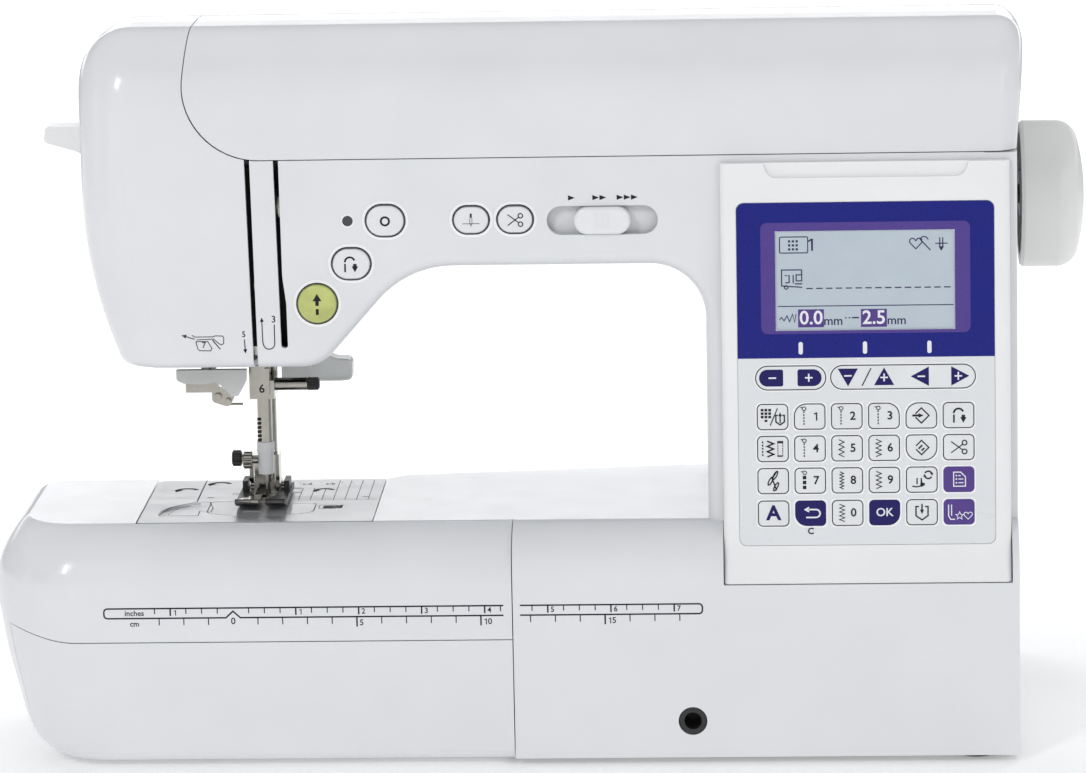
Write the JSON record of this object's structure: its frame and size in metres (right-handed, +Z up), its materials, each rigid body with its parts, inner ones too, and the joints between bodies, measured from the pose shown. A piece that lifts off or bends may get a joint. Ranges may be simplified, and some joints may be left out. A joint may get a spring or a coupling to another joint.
{
  "type": "sewing machine",
  "caption": "Free-arm household sewing machine with leaning key panel and screen, lid over the spools, handwheel, presser foot and slide-off flat bed.",
  "frame": {"origin": "bottom centre of the whole machine, on the surface it stands on", "axes": "+X towards the handwheel, +Y into the machine from its front, +Z up"},
  "size_m": [0.446, 0.19, 0.297],
  "materials": {
    "body_white": "glossy moulded plastic",
    "column_white": "glossy moulded plastic",
    "film_print": "satin printed film",
    "screen_glass": "liquid crystal panel under clear plastic",
    "button_white": "smooth moulded plastic",
    "start_green": "translucent lit cap",
    "slider_white": "smooth moulded plastic",
    "wheel_grey": "fine satin moulded plastic",
    "lever_grey": "translucent grey plastic",
    "plate_steel": "satin ground steel",
    "nickel": "bright nickel plate",
    "dark_steel": "dark hardened steel",
    "cast_alloy": "as-cast aluminium alloy",
    "bronze": "sintered bronze",
    "black_plastic": "black moulded plastic",
    "clear_plastic": "clear moulded plastic",
    "cover_grey": "smoky clear moulded plastic",
    "base_grey": "textured moulded plastic",
    "rubber": "soft rubber",
    "belt_rubber": "toothed rubber belt",
    "board_green": "epoxy circuit board",
    "screw_steel": "bright zinc plate"
  },
  "bodies": {
    "root": {"front_housing": "body_white", "rear_housing": "body_white", "base_plate": "base_grey", "rubber_feet": "rubber", "housing_screws": "screw_steel", "hinge_pins": "screw_steel", "spool_tray": "column_white", "spool_pin": "column_white", "panel_frame": "column_white", "panel_overlay": "film_print", "screen_module": "screen_glass", "circuit_boards": "board_green", "lamp_lenses": "clear_plastic", "connector_panel": "black_plastic", "drive_motor": "dark_steel", "motor_belt": "belt_rubber", "timing_belt": "belt_rubber", "machine_frame": "cast_alloy", "shaft_bushes": "bronze", "bobbin_case": "black_plastic", "thread_guide_bracket": "nickel", "thread_channel": "black_plastic", "tension_unit": "nickel", "needle_plate": "plate_steel", "bobbin_cover": "cover_grey", "presser_spring": "dark_steel"},
    "lid": {"top_cover": "body_white"},
    "handle": {"carry_handle": "column_white"},
    "spool_cap": {"spool_cap": "column_white"},
    "winder_arm": {"bobbin_winder_arm": "column_white"},
    "winder_spindle": {"bobbin_winder_shaft": "black_plastic"},
    "speed_slider": {"speed_slider": "slider_white"},
    "start_stop": {"start_stop_button": "start_green"},
    "reverse": {"reverse_button": "button_white"},
    "reinforcement": {"reinforcement_button": "button_white"},
    "needle_position": {"needle_position_button": "button_white"},
    "thread_cutter": {"thread_cutter_button": "button_white"},
    "upper_drive": {"handwheel": "wheel_grey", "upper_shaft": "dark_steel"},
    "lower_drive": {"lower_shaft": "dark_steel"},
    "hook": {"rotary_hook": "nickel"},
    "motor_rotor": {"motor_pulley": "cast_alloy"},
    "bobbin": {"bobbin": "clear_plastic"},
    "needle_bar": {"needle_bar": "nickel", "needle_clamp": "nickel", "needle": "nickel"},
    "take_up": {"take_up_lever": "nickel"},
    "presser": {"presser_bar": "nickel", "foot_holder": "nickel", "presser_foot": "nickel"},
    "presser_lever": {"presser_foot_lever": "lever_grey"},
    "threader_lever": {"threader_lever": "column_white"},
    "threader_head": {"threader_head": "nickel"},
    "cover_latch": {"bobbin_cover_latch": "black_plastic"},
    "feed": {"feed_dogs": "dark_steel"},
    "feed_drop": {"feed_drop_lever": "black_plastic"},
    "knee_socket": {"knee_lifter_socket": "black_plastic"},
    "flat_bed": {"flat_bed_attachment": "body_white"},
    "door": {"accessory_door": "body_white"},
    "power_rocker": {"power_switch": "black_plastic"}
  },
  "joints": [
    {"name": "lid_open", "type": "hinge", "parent": "root", "child": "lid", "pos_m": [0, 0.051, 0.27791], "axis": [-1, 0, 0], "range_deg": [0, 95]},
    {"name": "handle_raise", "type": "hinge", "parent": "root", "child": "handle", "pos_m": [0, 0.081, 0.262], "axis": [1, 0, 0], "range_deg": [0, 175]},
    {"name": "spool_cap_slide", "type": "slide", "parent": "root", "child": "spool_cap", "axis": [1, 0, 0], "range_m": [-0.006, 0.078]},
    {"name": "winder_swing", "type": "hinge", "parent": "root", "child": "winder_arm", "pos_m": [0.178, -0.038, 0.245], "axis": [0, 0, 1], "range_deg": [0, 9]},
    {"name": "winder_spin", "type": "hinge", "parent": "winder_arm", "child": "winder_spindle", "pos_m": [0.163, -0.038, 0.255], "axis": [0, 0, 1], "continuous": true},
    {"name": "speed_slide", "type": "slide", "parent": "root", "child": "speed_slider", "axis": [1, 0, 0], "range_m": [-0.0105, 0.0105]},
    {"name": "start_stop_press", "type": "slide", "parent": "root", "child": "start_stop", "axis": [0, 1, 0], "range_m": [0, 0.001], "stiffness_N_per_m": 800, "springref_m": -0.0004},
    {"name": "reverse_press", "type": "slide", "parent": "root", "child": "reverse", "axis": [0, 1, 0], "range_m": [0, 0.001], "stiffness_N_per_m": 800, "springref_m": -0.0004},
    {"name": "reinforcement_press", "type": "slide", "parent": "root", "child": "reinforcement", "axis": [0, 1, 0], "range_m": [0, 0.001], "stiffness_N_per_m": 800, "springref_m": -0.0004},
    {"name": "needle_position_press", "type": "slide", "parent": "root", "child": "needle_position", "axis": [0, 1, 0], "range_m": [0, 0.001], "stiffness_N_per_m": 800, "springref_m": -0.0004},
    {"name": "thread_cutter_press", "type": "slide", "parent": "root", "child": "thread_cutter", "axis": [0, 1, 0], "range_m": [0, 0.001], "stiffness_N_per_m": 800, "springref_m": -0.0004},
    {"name": "handwheel_turn", "type": "hinge", "parent": "root", "child": "upper_drive", "pos_m": [0, -0.01, 0.218], "axis": [1, 0, 0], "continuous": true},
    {"name": "lower_shaft_turn", "type": "hinge", "parent": "root", "child": "lower_drive", "pos_m": [0, -0.0315, 0.053], "axis": [1, 0, 0], "continuous": true},
    {"name": "hook_turn", "type": "hinge", "parent": "root", "child": "hook", "pos_m": [-0.114, -0.052, 0.06], "axis": [0, 0, 1], "continuous": true},
    {"name": "motor_turn", "type": "hinge", "parent": "root", "child": "motor_rotor", "pos_m": [0, 0.03, 0.078], "axis": [1, 0, 0], "continuous": true},
    {"name": "bobbin_spin", "type": "hinge", "parent": "root", "child": "bobbin", "pos_m": [-0.114, -0.052, 0.086], "axis": [0, 0, 1], "continuous": true},
    {"name": "needle_bar_slide", "type": "slide", "parent": "root", "child": "needle_bar", "axis": [0, 0, 1], "range_m": [0, 0.031]},
    {"name": "take_up_swing", "type": "hinge", "parent": "root", "child": "take_up", "pos_m": [-0.112, -0.048, 0.206], "axis": [-1, 0, 0], "range_deg": [0, 65]},
    {"name": "presser_bar_slide", "type": "slide", "parent": "root", "child": "presser", "axis": [0, 0, 1], "range_m": [0, 0.008], "stiffness_N_per_m": 400, "springref_m": -0.02, "deforming": ["presser_spring"]},
    {"name": "presser_lever_lift", "type": "hinge", "parent": "root", "child": "presser_lever", "pos_m": [-0.104, 0.018, 0.146], "axis": [0, -1, 0], "range_deg": [0, 60]},
    {"name": "threader_lever_slide", "type": "slide", "parent": "root", "child": "threader_lever", "axis": [0, 0, -1], "range_m": [0, 0.04], "stiffness_N_per_m": 40, "springref_m": -0.02},
    {"name": "threader_head_slide", "type": "slide", "parent": "root", "child": "threader_head", "axis": [0, 0, -1], "range_m": [0, 0.02]},
    {"name": "cover_latch_slide", "type": "slide", "parent": "root", "child": "cover_latch", "axis": [1, 0, 0], "range_m": [0, 0.0025], "stiffness_N_per_m": 200, "springref_m": -0.001},
    {"name": "feed_dog_drop", "type": "slide", "parent": "root", "child": "feed", "axis": [0, 0, 1], "range_m": [-0.003, 0]},
    {"name": "feed_drop_slide", "type": "slide", "parent": "root", "child": "feed_drop", "axis": [1, 0, 0], "range_m": [0, 0.02]},
    {"name": "knee_lifter_turn", "type": "hinge", "parent": "root", "child": "knee_socket", "pos_m": [0.0616, -0.085, 0.0181], "axis": [0, 1, 0], "range_deg": [0, 25], "stiffness_Nm_per_rad": 0.05, "springref_deg": -11.46},
    {"name": "flat_bed_slide", "type": "slide", "parent": "root", "child": "flat_bed", "axis": [-1, 0, 0], "range_m": [0, 0.165]},
    {"name": "door_open", "type": "hinge", "parent": "flat_bed", "child": "door", "pos_m": [-0.1, -0.0915, 0.0055], "axis": [1, 0, 0], "range_deg": [0, 80]},
    {"name": "power_rocker_tilt", "type": "hinge", "parent": "root", "child": "power_rocker", "pos_m": [0.1895, 0.0555, 0.069], "axis": [0, 1, 0], "range_deg": [-7, 7]}
  ],
  "couplings": [
    {"joint": "lower_shaft_turn", "follows": "handwheel_turn", "ratio": 1},
    {"joint": "hook_turn", "follows": "handwheel_turn", "ratio": 2},
    {"joint": "motor_turn", "follows": "handwheel_turn", "ratio": 3.3333},
    {"joint": "presser_lever_lift", "follows": "presser_bar_slide", "rad_per_m": 130.8},
    {"joint": "threader_head_slide", "follows": "threader_lever_slide", "ratio": 0.5},
    {"joint": "feed_drop_slide", "follows": "feed_dog_drop", "ratio": -6.66}
  ]
}
